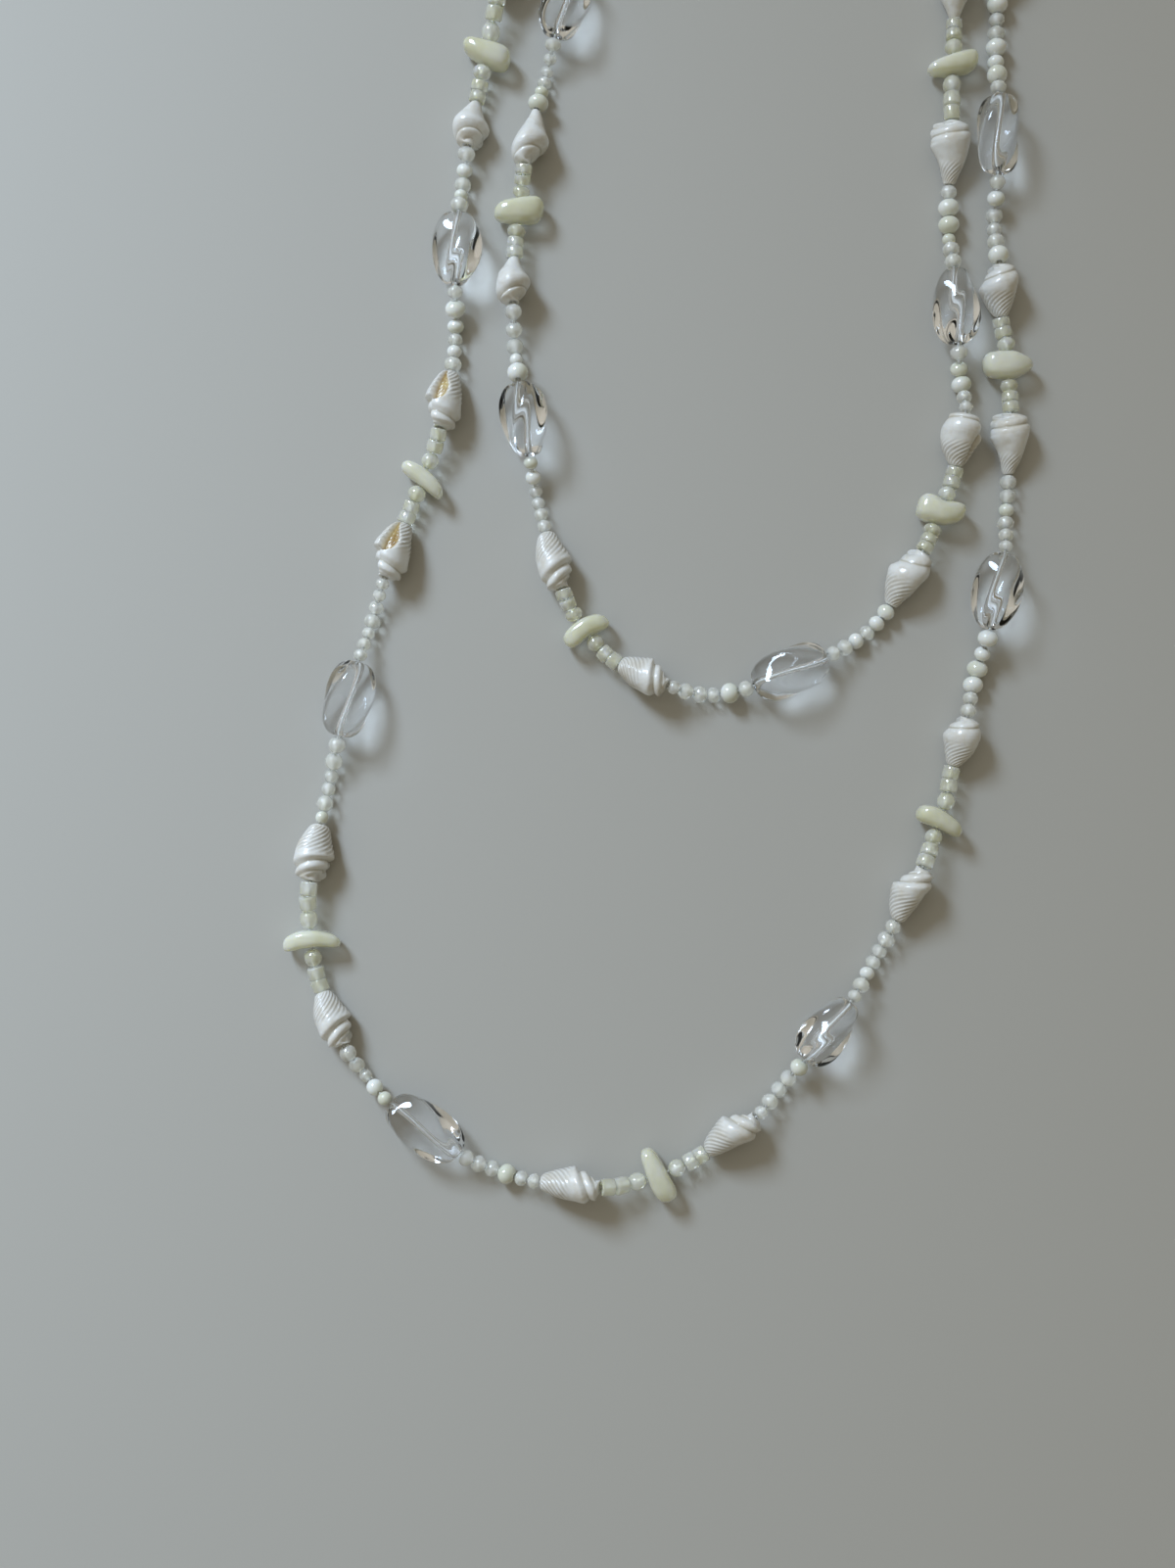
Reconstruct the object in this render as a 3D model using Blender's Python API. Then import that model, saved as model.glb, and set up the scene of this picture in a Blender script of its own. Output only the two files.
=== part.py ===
# Beaded rope necklace: one closed string of glass, shell, stone and seed beads,
# laid down on a flat surface in two turns that cross once.
# Units are metres, +Z is up, and the string lies on z = 0.

import math

import bmesh
import bpy
import numpy as np
from mathutils import Matrix, Vector

NAME = "beaded_necklace"

# Glass beads: clear twisted ovals
GLASS_LENGTH = 0.0160
GLASS_WIDTH = 0.0102
GLASS_DEPTH = 0.0084
GLASS_TWIST = math.radians(75)
GLASS_END_SHARE = 0.30
GLASS_SIDES = 8

# Shell beads: small conches, threaded from the narrow end to the spire
SHELL_LENGTH = 0.0120
SHELL_WIDTH = 0.0080
SHELL_DEPTH = 0.0072
SHELL_LIP_SHARE = 0.12
SHELL_PITCH = math.radians(9)
SHELL_SIDES = 10

# Stone chips: polished pebbles that hang across the string
CHIP_THICKNESS = 0.0054
CHIP_WIDTH = 0.0108
CHIP_HEIGHT = 0.0060
CHIP_SIDES = 10
CHIP_CORNER = 2.6

# The string and the small beads on it
THREAD_DIAMETER = 0.0006
SEED_DIAMETER = 0.0029
PONY_DIAMETER = 0.0034
ROUND_DIAMETER = 0.0038
SEED_RUN_LENGTH = 0.0170
MIDDLE_LENGTH = 0.0080
ROUND_SHARE = 0.36

# Clearances
PIECE_GAP = 0.0005
BORE_CLEARANCE = 0.0003
RIM_STEP = 0.0001
SEED_RIM_STEP = 0.0005

# Where the string runs over itself
BRIDGE_CLEARANCE = 0.0009
BRIDGE_REPEAT = 5

# Lengths along the string, a row for each repeat, as shares of the named sizes:
# glass and both shells and the chip of their own lengths, the runs of small
# beads of SEED_RUN_LENGTH and the groups of three beads of MIDDLE_LENGTH
COLUMNS = ("glass", "run_a", "shell_a", "middle_a", "chip", "middle_b", "shell_b", "run_b")
REPEATS = (
    (0.94, 0.99, 1.05, 0.95, 0.93, 0.93, 1.03, 1.02),
    (1.00, 1.05, 1.00, 1.15, 0.85, 1.08, 1.00, 0.86),
    (1.10, 1.00, 1.04, 1.12, 0.96, 1.04, 1.05, 0.86),
    (0.96, 1.09, 1.02, 0.92, 1.02, 1.04, 0.88, 1.06),
    (1.00, 0.96, 1.05, 0.84, 1.11, 0.85, 0.90, 1.05),
    (1.04, 1.25, 1.00, 1.00, 0.96, 1.00, 0.90, 0.85),
    (1.00, 0.97, 1.00, 0.78, 0.96, 0.78, 0.90, 0.85),
    (1.00, 0.86, 1.03, 0.74, 0.98, 0.88, 0.84, 0.93),
    (0.96, 0.90, 1.05, 0.79, 0.98, 0.91, 0.92, 1.02),
    (1.02, 0.98, 1.07, 0.74, 1.15, 0.80, 0.93, 0.80),
    (0.98, 1.05, 1.07, 1.15, 0.96, 0.86, 0.90, 0.79),
    (0.98, 0.99, 1.06, 1.20, 1.04, 1.20, 1.08, 1.10),
    (1.06, 1.07, 1.06, 1.15, 1.00, 0.89, 0.84, 0.81),
)

# How each repeat's beads are turned: degrees about the string for the glass
# and the shells, and for the chip how far it leans along the string and bends,
# as shares of its width, with its width and height as shares of the named ones
TURN_COLUMNS = ("glass", "shell_a", "shell_b", "lean", "bend", "width", "height")
TURNS = (
    (35, 95, 110, 0.28, 0.14, 0.92, 0.92),
    (-20, 200, 170, 0.04, 0.22, 1.06, 0.94),
    (10, 250, 30, -0.12, 0.02, 1.08, 1.00),
    (55, 320, 215, 0.12, -0.12, 0.92, 1.08),
    (-50, 165, 280, 0.04, 0.02, 0.94, 1.06),
    (80, 20, 140, 0.10, 0.10, 1.00, 1.00),
    (25, 230, 60, -0.15, -0.08, 0.94, 1.04),
    (-35, 300, 190, -0.18, 0.02, 0.92, 1.00),
    (60, 150, 255, 0.10, 0.14, 0.92, 0.98),
    (0, 40, 330, -0.14, 0.12, 0.90, 1.08),
    (45, 185, 75, -0.26, 0.02, 0.96, 0.94),
    (-60, 270, 120, 0.18, 0.12, 0.96, 1.02),
    (15, 345, 205, 0.15, -0.05, 0.94, 1.00),
)

# The route of the string over the surface, in millimetres, and its middle, which
# lands on the origin
ROUTE = (
    (-43.2, 8.4), (-53.8, -22.0), (-62.8, -52.0), (-69.8, -83.2), (-71.0, -100.4),
    (-66.8, -117.2), (-59.2, -129.4), (-48.0, -140.0), (-33.2, -148.2), (-18.4, -151.2),
    (-1.2, -149.8), (14.6, -141.4), (24.8, -131.4), (43.0, -107.6), (57.2, -77.6),
    (60.8, -61.8), (65.4, -46.6), (71.2, -16.0), (71.6, 15.0), (69.8, 30.0),
    (69.2, 61.6), (70.2, 114.0), (66.8, 127.6), (52.6, 134.8), (38.6, 137.2),
    (21.6, 140.0), (3.6, 134.4), (-10.0, 120.0), (-19.0, 90.0), (-26.4, 61.0),
    (-29.6, 33.4), (-27.6, 5.0), (-21.6, -24.0), (-15.4, -38.2), (-4.0, -48.0),
    (11.2, -51.2), (26.4, -48.0), (40.2, -40.0), (50.8, -28.6), (62.0, -0.2),
    (60.4, 26.6), (59.8, 58.8), (61.2, 94.0), (60.0, 109.0), (52.6, 134.8),
    (46.6, 145.2), (34.2, 150.4), (16.6, 150.6), (-0.4, 145.0), (-15.0, 132.4),
    (-25.4, 114.0), (-33.4, 88.0), (-40.2, 52.0),
)
ROUTE_UNIT = 0.001
ROUTE_MIDDLE = (0.0, 0.7)
ROUTE_STEPS = 24
FIRST_GLASS_SHARE = -0.0252

# Cross-sections of a shell from its narrow end: place along it, then half width
SHELL_PROFILE = ((0.00, 0.40), (0.34, 0.74), (0.68, 1.00), (0.76, 0.80), (0.90, 0.68), (1.00, 0.40))
LIP_END = 0.76

# Cross-sections of a chip through its thickness
CHIP_PROFILE = ((0.00, 0.62), (0.22, 1.00), (0.78, 1.00), (1.00, 0.62))

# Places of a glass bead's cross-sections
GLASS_PLACES = (0.00, 0.08, 0.27, 0.50, 0.73, 0.92, 1.00)
GLASS_ROUNDNESS = 2.6

# A round bead's rings along the string: place, then radius
ROUND_PROFILE = ((0.18, 0.77), (0.50, 1.00), (0.82, 0.77))
GROOVE_SHARE = 0.70
GROOVE_AT_ROUND = 0.42


def row(columns, values):
    return dict(zip(columns, values))


# The closed smooth curve through the route's points, with its length so far
def smooth_route():
    points = (np.array(ROUTE) - ROUTE_MIDDLE) * ROUTE_UNIT
    before, start, end, after = (np.roll(points, -k, axis=0)[:, None, :] for k in (-1, 0, 1, 2))
    t = np.linspace(0.0, 1.0, ROUTE_STEPS, endpoint=False)[None, :, None]
    bend = 2 * before - 5 * start + 4 * end - after
    twist = 3 * start - before - 3 * end + after
    curve = 0.5 * (2 * start + (end - before) * t + bend * t ** 2 + twist * t ** 3)
    curve = curve.reshape(-1, 2)
    curve = np.vstack([curve, curve[:1]])
    steps = np.linalg.norm(np.diff(curve, axis=0), axis=1)
    return curve, np.concatenate([[0.0], np.cumsum(steps)])


# The lengths that the table gives, in string order
def stretches():
    sizes = {"glass": GLASS_LENGTH, "shell_a": SHELL_LENGTH, "shell_b": SHELL_LENGTH,
             "chip": CHIP_THICKNESS, "run_a": SEED_RUN_LENGTH, "run_b": SEED_RUN_LENGTH,
             "middle_a": MIDDLE_LENGTH, "middle_b": MIDDLE_LENGTH}
    result = []
    for index, shares in enumerate(REPEATS):
        for kind, share in row(COLUMNS, shares).items():
            result.append({"kind": kind, "repeat": index, "length": share * sizes[kind]})
    return result


# Each stretch gets its start and end on the route, which is scaled to the string
def place_stretches():
    items = stretches()
    total = sum(item["length"] for item in items)
    curve, walked = smooth_route()
    scale = total / walked[-1]
    position = (FIRST_GLASS_SHARE - 0.5 * items[0]["length"] / total) * walked[-1]
    for item in items:
        ends = []
        for place in (position, position + item["length"] / scale):
            along = place % walked[-1]
            ends.append(Vector((np.interp(along, walked, curve[:, 0]) * scale,
                                np.interp(along, walked, curve[:, 1]) * scale, 0.0)))
        item["ends"] = ends
        position += item["length"] / scale
    return items


# One closed ring of a bead's outside in the YZ plane, with rounded corners and a
# level side at the bottom
def section(x, half_width, half_height, sides, corner, turn=0.0):
    points = []
    for index in range(sides):
        angle = 2 * math.pi * (index + 0.5) / sides - math.pi / 2
        y = math.copysign(abs(math.cos(angle)) ** (2 / corner), math.cos(angle)) * half_width
        z = math.copysign(abs(math.sin(angle)) ** (2 / corner), math.sin(angle)) * half_height
        points.append(Vector((x, y * math.cos(turn) - z * math.sin(turn),
                              y * math.sin(turn) + z * math.cos(turn))))
    return points


def glass_sections(length):
    rings = []
    for place in GLASS_PLACES:
        swell = (1 - abs(2 * place - 1) ** GLASS_ROUNDNESS) ** (1 / GLASS_ROUNDNESS)
        share = GLASS_END_SHARE + (1 - GLASS_END_SHARE) * swell
        turn = GLASS_TWIST * (place - 0.5)
        rings.append(section((place - 0.5) * length, share * GLASS_WIDTH / 2,
                             share * GLASS_DEPTH / 2, GLASS_SIDES, 2.0, turn))
    return rings


# The lip swells one side of the last whorl, so a shell isn't quite round
def shell_sections(length):
    rings = []
    for place, share in SHELL_PROFILE:
        ring = section((place - 0.5) * length, share * SHELL_WIDTH / 2,
                       share * SHELL_DEPTH / 2, SHELL_SIDES, 2.0)
        if place < LIP_END:
            lip = SHELL_LIP_SHARE * SHELL_WIDTH / 2 * math.sin(math.pi * place / LIP_END)
            for point in ring:
                point.y += lip
        rings.append(ring)
    return rings


def chip_sections(length, lean, bend, width, height):
    half_width = width * CHIP_WIDTH / 2
    rings = []
    for place, share in CHIP_PROFILE:
        ring = section((place - 0.5) * length, share * half_width,
                       share * height * CHIP_HEIGHT / 2, CHIP_SIDES, CHIP_CORNER)
        for point in ring:
            across = point.y / half_width
            point.x += half_width * (lean * across + bend * across ** 2)
        rings.append(ring)
    return rings


# A bead is lofted through its sections and back through its bore
def loft_bead(name, rings, material, collection):
    sides = len(rings[0])
    bore_radius = THREAD_DIAMETER / 2 + BORE_CLEARANCE
    bore = []
    for ring in (rings[0], rings[-1]):
        middle = sum(point.x for point in ring) / sides
        bore.append(section(middle, bore_radius, bore_radius, sides, 2.0))
    loops = [bore[0]] + rings + [bore[1]]
    mesh = bpy.data.meshes.new(name)
    shape = bmesh.new()
    corners = [[shape.verts.new(point) for point in loop] for loop in loops]
    for index, loop in enumerate(corners):
        following = corners[(index + 1) % len(corners)]
        for k in range(sides):
            j = (k + 1) % sides
            shape.faces.new((loop[k], loop[j], following[j], following[k]))
    bmesh.ops.recalc_face_normals(shape, faces=shape.faces)
    shape.to_mesh(mesh)
    shape.free()
    mesh.materials.append(material)
    bead = bpy.data.objects.new(name, mesh)
    collection.objects.link(bead)
    return bead


# A main bead lies on the surface along its stretch of the string
def seat_bead(item, rings, turn, pitch):
    start, end = item["ends"]
    heading = math.atan2(end.y - start.y, end.x - start.x)
    rotation = (Matrix.Rotation(heading, 3, "Z") @ Matrix.Rotation(-pitch, 3, "Y")
                @ Matrix.Rotation(turn, 3, "X"))
    lowest = min((rotation @ point).z for ring in rings for point in ring)
    middle = (start + end) / 2
    middle.z = -lowest
    item["direction"] = rotation @ Vector((1.0, 0.0, 0.0))
    half = item["direction"] * (end - start).length / 2
    item["entry"] = middle - half
    item["exit"] = middle + half
    return Matrix.Translation(middle) @ rotation.to_4x4()


def build_main_beads(items, materials, collection):
    counts = {"glass": 0, "shell": 0, "chip": 0}
    beads = []
    for item in items:
        kind = item["kind"].split("_")[0]
        if kind not in counts:
            continue
        turns = row(TURN_COLUMNS, TURNS[item["repeat"]])
        length = item["length"] - PIECE_GAP
        turn, pitch = 0.0, 0.0
        if kind == "glass":
            rings = glass_sections(length)
            turn = math.radians(turns["glass"])
        elif kind == "shell":
            rings = shell_sections(length)
            turn = math.radians(turns[item["kind"]])
            pitch = SHELL_PITCH
        else:
            rings = chip_sections(length, turns["lean"], turns["bend"], turns["width"], turns["height"])
        counts[kind] += 1
        bead = loft_bead(f"{kind}_{counts[kind]:02d}", rings, materials[kind], collection)
        bead.matrix_world = seat_bead(item, rings, turn, pitch)
        beads.append(bead)
    return beads


# The middle of the string between two main beads, from one bore to the next
def link_point(before, after, t, lowest):
    start, end = before["exit"], after["entry"]
    span = (end - start).length
    h00, h10 = 2 * t ** 3 - 3 * t ** 2 + 1, t ** 3 - 2 * t ** 2 + t
    h01, h11 = -2 * t ** 3 + 3 * t ** 2, t ** 3 - t ** 2
    point = h00 * start + h01 * end + span * (h10 * before["direction"] + h11 * after["direction"])
    if lowest is not None:
        near = start.z if t < 0.5 else end.z
        share = 0.5 + 0.5 * math.cos(2 * math.pi * t)
        point.z = lowest + (near - lowest) * share
    return point


def thread_ring(point):
    return point, THREAD_DIAMETER / 2


# A run of seed beads: a plain round tube that sags to the surface
def seed_rings(item, before, after):
    lowest = SEED_DIAMETER / 2
    if item["kind"] == "run_b" and item["repeat"] == BRIDGE_REPEAT:
        lowest += SEED_DIAMETER + BRIDGE_CLEARANCE
    gap = PIECE_GAP / 2 / item["length"]
    step = SEED_RIM_STEP / item["length"]
    rings = []
    for t, radius in ((gap, THREAD_DIAMETER), (gap + step, SEED_DIAMETER), (0.5, SEED_DIAMETER),
                      (1 - gap - step, SEED_DIAMETER), (1 - gap, THREAD_DIAMETER)):
        rings.append((link_point(before, after, t, lowest), radius / 2))
    return rings


# Three middle beads: two short cylinders towards the shell, a round one at the chip
def middle_rings(item, before, after):
    length = item["length"]
    gap = PIECE_GAP / 2 / length
    step = RIM_STEP / length
    pony = (1 - ROUND_SHARE - 2 * gap) / 2
    places = [(gap, THREAD_DIAMETER)]
    for index in range(2):
        start = gap + index * pony
        if index:
            places.append((start, GROOVE_SHARE * PONY_DIAMETER))
        places.append((start + step, PONY_DIAMETER))
        places.append((start + pony - step, PONY_DIAMETER))
    start = gap + 2 * pony
    places.append((start, GROOVE_AT_ROUND * ROUND_DIAMETER))
    for place, share in ROUND_PROFILE:
        places.append((start + place * ROUND_SHARE, share * ROUND_DIAMETER))
    places.append((1 - gap, THREAD_DIAMETER))
    if item["kind"] == "middle_b":
        places = [(1 - t, diameter) for t, diameter in reversed(places)]
    return [(link_point(before, after, t, None), diameter / 2) for t, diameter in places]


# One stretch of string is a tube whose radius follows the beads on it
def build_string(name, rings, material, collection):
    data = bpy.data.curves.new(name, "CURVE")
    data.dimensions = "3D"
    data.bevel_depth = SEED_DIAMETER / 2
    data.bevel_resolution = 3
    data.use_fill_caps = True
    spline = data.splines.new("POLY")
    spline.points.add(len(rings) - 1)
    for target, (point, radius) in zip(spline.points, rings):
        target.co = (*point, 1.0)
        target.radius = radius / data.bevel_depth
    data.materials.append(material)
    string = bpy.data.objects.new(name, data)
    collection.objects.link(string)
    return string


# The two halves of the string meet inside the seventh and the last glass bead
def build_strings(items, material, collection):
    count = len(items)
    mains = [index for index, item in enumerate(items) if "direction" in item]
    glass = [index for index in mains if items[index]["kind"] == "glass"]
    first, second = glass[-1], glass[BRIDGE_REPEAT + 1]
    strings = []
    for name, start, stop in (("bead_string_outer", first, second + count),
                              ("bead_string_inner", second, first)):
        head, tail = items[start], items[stop % count]
        half_gap = PIECE_GAP / 2
        middle = (head["entry"] + head["exit"]) / 2 + head["direction"] * half_gap
        rings = [thread_ring(middle)]
        for index in range(start + 1, stop):
            item = items[index % count]
            if "direction" in item:
                continue
            before, after = items[(index - 1) % count], items[(index + 1) % count]
            make = seed_rings if item["kind"].startswith("run") else middle_rings
            rings.extend(make(item, before, after))
        middle = (tail["entry"] + tail["exit"]) / 2 - tail["direction"] * half_gap
        rings.append(thread_ring(middle))
        strings.append(build_string(name, rings, material, collection))
    return strings


def make_material(name, colour, roughness):
    material = bpy.data.materials.new(name)
    material.use_nodes = True
    shader = material.node_tree.nodes["Principled BSDF"]
    shader.inputs["Base Color"].default_value = (*colour, 1.0)
    shader.inputs["Roughness"].default_value = roughness
    shader.inputs["Metallic"].default_value = 0.0
    material.diffuse_color = (*colour, 1.0)
    return material


def main():
    for item in list(bpy.data.objects):
        bpy.data.objects.remove(item)
    collection = bpy.data.collections.new(NAME)
    bpy.context.scene.collection.children.link(collection)
    materials = {
        "glass": make_material("clear_glass", (0.78, 0.80, 0.80), 0.03),
        "shell": make_material("ivory_shell", (0.82, 0.77, 0.70), 0.35),
        "chip": make_material("pale_green_stone", (0.66, 0.67, 0.50), 0.20),
        "string": make_material("pearly_beads", (0.72, 0.72, 0.66), 0.15),
    }
    items = place_stretches()
    beads = build_main_beads(items, materials, collection)
    beads += build_strings(items, materials["string"], collection)
    origin = bpy.data.objects.new(NAME + "_origin", None)
    collection.objects.link(origin)
    for bead in beads:
        bead.parent = origin


main()
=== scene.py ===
import math
import random

import bpy
import numpy as np
from mathutils import Euler, Matrix, Vector


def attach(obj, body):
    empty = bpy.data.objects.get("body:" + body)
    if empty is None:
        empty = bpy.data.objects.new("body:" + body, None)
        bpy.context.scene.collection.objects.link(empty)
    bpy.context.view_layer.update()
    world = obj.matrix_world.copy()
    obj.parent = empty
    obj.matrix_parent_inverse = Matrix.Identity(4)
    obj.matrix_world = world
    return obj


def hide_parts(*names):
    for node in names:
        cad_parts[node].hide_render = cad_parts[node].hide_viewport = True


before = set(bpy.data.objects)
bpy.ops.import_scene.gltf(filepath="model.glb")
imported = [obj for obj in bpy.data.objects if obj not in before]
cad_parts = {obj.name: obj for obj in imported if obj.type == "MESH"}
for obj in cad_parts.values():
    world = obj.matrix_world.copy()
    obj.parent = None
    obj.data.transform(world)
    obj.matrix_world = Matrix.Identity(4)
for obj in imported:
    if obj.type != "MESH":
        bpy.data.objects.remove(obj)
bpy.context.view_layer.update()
print("necklace frame loaded:", len(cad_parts), "nodes")

mm = 0.001
dice = random.Random(11)


def hexColour(code):
    # sRGB hex to the linear colour that the shaders take
    values = [int(code[k:k + 2], 16) / 255 for k in (1, 3, 5)]
    linear = (v / 12.92 if v <= 0.04045 else ((v + 0.055) / 1.055) ** 2.4 for v in values)
    return (*linear, 1.0)


def addNode(material, kind, settings=None, links=None):
    # one node, its settings, and what feeds its inputs
    node = material.node_tree.nodes.new("ShaderNode" + kind)
    for key, value in (settings or {}).items():
        if isinstance(key, int) or key in node.inputs:
            node.inputs[key].default_value = value
        else:
            setattr(node, key, value)
    for key, output in (links or {}).items():
        material.node_tree.links.new(output, node.inputs[key])
    return node


def newMaterial(name, base, roughness, ior=1.5, **extra):
    material = bpy.data.materials.new(name)
    material.use_nodes = True
    shader = material.node_tree.nodes["Principled BSDF"]
    shader.inputs["Base Color"].default_value = hexColour(base)
    shader.inputs["Roughness"].default_value = roughness
    shader.inputs["IOR"].default_value = ior
    for key, value in extra.items():
        shader.inputs[key.replace("_", " ")].default_value = value
    material.diffuse_color = hexColour(base)
    return material, shader


def feed(material, output, shader, socket):
    material.node_tree.links.new(output, shader.inputs[socket])


def noiseOn(material, scale, detail, roughness=0.5):
    # noise in the metres of the table, so that every bead gets its own part of it
    coordinates = addNode(material, "TexCoord")
    noise = addNode(material, "TexNoise", {"Scale": scale, "Detail": detail, "Roughness": roughness},
                    {"Vector": coordinates.outputs["Object"]})
    return noise.outputs["Fac"]


def rampOn(material, value, low, high):
    # a colour ramp between two pairs of a place and a colour
    ramp = addNode(material, "ValToRGB", {}, {"Fac": value})
    for stop, (place, colour) in zip(ramp.color_ramp.elements, (low, high)):
        stop.position = place
        stop.color = hexColour(colour)
    return ramp.outputs["Color"]


def bumpOn(material, shader, height, strength, depth):
    bump = addNode(material, "Bump", {"Strength": strength, "Distance": depth}, {"Height": height})
    feed(material, bump.outputs["Normal"], shader, "Normal")


def letLightThrough(material, shader, share):
    # refracted light is not traced on to the table, so shadow rays go through instead,
    # fewer at the rim
    rim = addNode(material, "LayerWeight", {"Blend": 0.4})
    inner = addNode(material, "Math", {"operation": "SUBTRACT", 0: share}, {1: rim.outputs["Facing"]})
    path = addNode(material, "LightPath")
    amount = addNode(material, "Math", {"operation": "MULTIPLY", "use_clamp": True},
                     {0: path.outputs["Is Shadow Ray"], 1: inner.outputs["Value"]})
    clear = addNode(material, "BsdfTransparent")
    mixed = addNode(material, "MixShader", {}, {0: amount.outputs["Value"], 1: shader.outputs["BSDF"],
                                                2: clear.outputs["BSDF"]})
    feed(material, mixed.outputs["Shader"], material.node_tree.nodes["Material Output"], "Surface")


def onlyThis(piece):
    bpy.ops.object.select_all(action="DESELECT")
    piece.select_set(True)
    bpy.context.view_layer.objects.active = piece


def applyAll(piece):
    onlyThis(piece)
    for modifier in list(piece.modifiers):
        bpy.ops.object.modifier_apply(modifier=modifier.name)


def turnedBead(name, sides, profile, boreRadius):
    # a ring of points is extruded up the outside of the bead and back down its bore
    z, radius = profile[0]
    bpy.ops.object.select_all(action="DESELECT")
    bpy.ops.mesh.primitive_circle_add(vertices=sides, radius=radius, location=(0, 0, 0))
    bead = bpy.context.object
    bead.name = name
    bpy.ops.object.mode_set(mode="EDIT")
    bpy.ops.mesh.select_all(action="SELECT")
    bpy.ops.transform.translate(value=(0, 0, z))
    boreEnds = [(profile[-1][0], boreRadius), (profile[0][0], boreRadius)]
    for nextZ, nextRadius in profile[1:] + boreEnds + profile[:1]:
        bpy.ops.mesh.extrude_region_move(TRANSFORM_OT_translate={"value": (0, 0, nextZ - z)})
        grow = nextRadius / radius
        bpy.ops.transform.resize(value=(grow, grow, 1), center_override=(0, 0, nextZ))
        z, radius = nextZ, nextRadius
    bpy.ops.mesh.select_all(action="SELECT")
    bpy.ops.mesh.remove_doubles(threshold=0.01 * mm)
    bpy.ops.mesh.normals_make_consistent(inside=False)
    bpy.ops.object.mode_set(mode="OBJECT")
    bpy.ops.object.shade_smooth()
    return bead


def copyOf(master, name):
    piece = bpy.data.objects.new(name, master.data.copy())
    bpy.context.scene.collection.objects.link(piece)
    return piece


def cloudTexture(name, size):
    texture = bpy.data.textures.new(name, "CLOUDS")
    texture.noise_scale = size
    return texture


def displaceAt(piece, texture, strength, number):
    # the bead's number moves it through the texture, so that no two are the same
    away = 30 * mm * number
    piece.data.transform(Matrix.Translation((0, 0, away)))
    uneven = piece.modifiers.new("uneven", "DISPLACE")
    uneven.texture = texture
    uneven.texture_coords = "LOCAL"
    uneven.strength = strength
    applyAll(piece)
    piece.data.transform(Matrix.Translation((0, 0, -away)))


def joined(name, pieces):
    bpy.ops.object.select_all(action="DESELECT")
    for piece in pieces:
        piece.select_set(True)
    bpy.context.view_layer.objects.active = pieces[0]
    bpy.ops.object.join()
    whole = bpy.context.object
    whole.name = name
    return whole


def finishPiece(piece, material, node):
    # its material, the body that it moves with, and the imported piece that it stands for
    piece.data.materials.clear()
    piece.data.materials.append(material)
    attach(piece, "root")
    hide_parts(node)


# Where the beads lie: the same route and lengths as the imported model
laying = {
    "glass": 16.0 * mm, "shell": 12.0 * mm, "chip": 5.4 * mm, "run": 17.0 * mm, "middle": 8.0 * mm,
    "gap": 0.5 * mm, "seed": 2.9 * mm, "shellPitch": math.radians(9), "bridgeRepeat": 5,
    "bridgeClearance": 0.9 * mm, "firstGlass": -0.0252, "routeSteps": 24,
}
order = ("glass", "run_a", "shell_a", "middle_a", "chip", "middle_b", "shell_b", "run_b")
# each row is one repeat of the beads: their lengths in that order, as shares of the usual ones
repeats = (
    (0.94, 0.99, 1.05, 0.95, 0.93, 0.93, 1.03, 1.02),
    (1.00, 1.05, 1.00, 1.15, 0.85, 1.08, 1.00, 0.86),
    (1.10, 1.00, 1.04, 1.12, 0.96, 1.04, 1.05, 0.86),
    (0.96, 1.09, 1.02, 0.92, 1.02, 1.04, 0.88, 1.06),
    (1.00, 0.96, 1.05, 0.84, 1.11, 0.85, 0.90, 1.05),
    (1.04, 1.25, 1.00, 1.00, 0.96, 1.00, 0.90, 0.85),
    (1.00, 0.97, 1.00, 0.78, 0.96, 0.78, 0.90, 0.85),
    (1.00, 0.86, 1.03, 0.74, 0.98, 0.88, 0.84, 0.93),
    (0.96, 0.90, 1.05, 0.79, 0.98, 0.91, 0.92, 1.02),
    (1.02, 0.98, 1.07, 0.74, 1.15, 0.80, 0.93, 0.80),
    (0.98, 1.05, 1.07, 1.15, 0.96, 0.86, 0.90, 0.79),
    (0.98, 0.99, 1.06, 1.20, 1.04, 1.20, 1.08, 1.10),
    (1.06, 1.07, 1.06, 1.15, 1.00, 0.89, 0.84, 0.81),
)
# for each repeat: how the glass and the two shells are turned about the string, in degrees, then how
# the stone chip leans and bends, and its width and height as shares
turnNames = ("glass", "shell_a", "shell_b", "lean", "bend", "width", "height")
turns = (
    (35, 95, 110, 0.28, 0.14, 0.92, 0.92), (-20, 200, 170, 0.04, 0.22, 1.06, 0.94),
    (10, 250, 30, -0.12, 0.02, 1.08, 1.00), (55, 320, 215, 0.12, -0.12, 0.92, 1.08),
    (-50, 165, 280, 0.04, 0.02, 0.94, 1.06), (80, 20, 140, 0.10, 0.10, 1.00, 1.00),
    (25, 230, 60, -0.15, -0.08, 0.94, 1.04), (-35, 300, 190, -0.18, 0.02, 0.92, 1.00),
    (60, 150, 255, 0.10, 0.14, 0.92, 0.98), (0, 40, 330, -0.14, 0.12, 0.90, 1.08),
    (45, 185, 75, -0.26, 0.02, 0.96, 0.94), (-60, 270, 120, 0.18, 0.12, 0.96, 1.02),
    (15, 345, 205, 0.15, -0.05, 0.94, 1.00),
)
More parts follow.
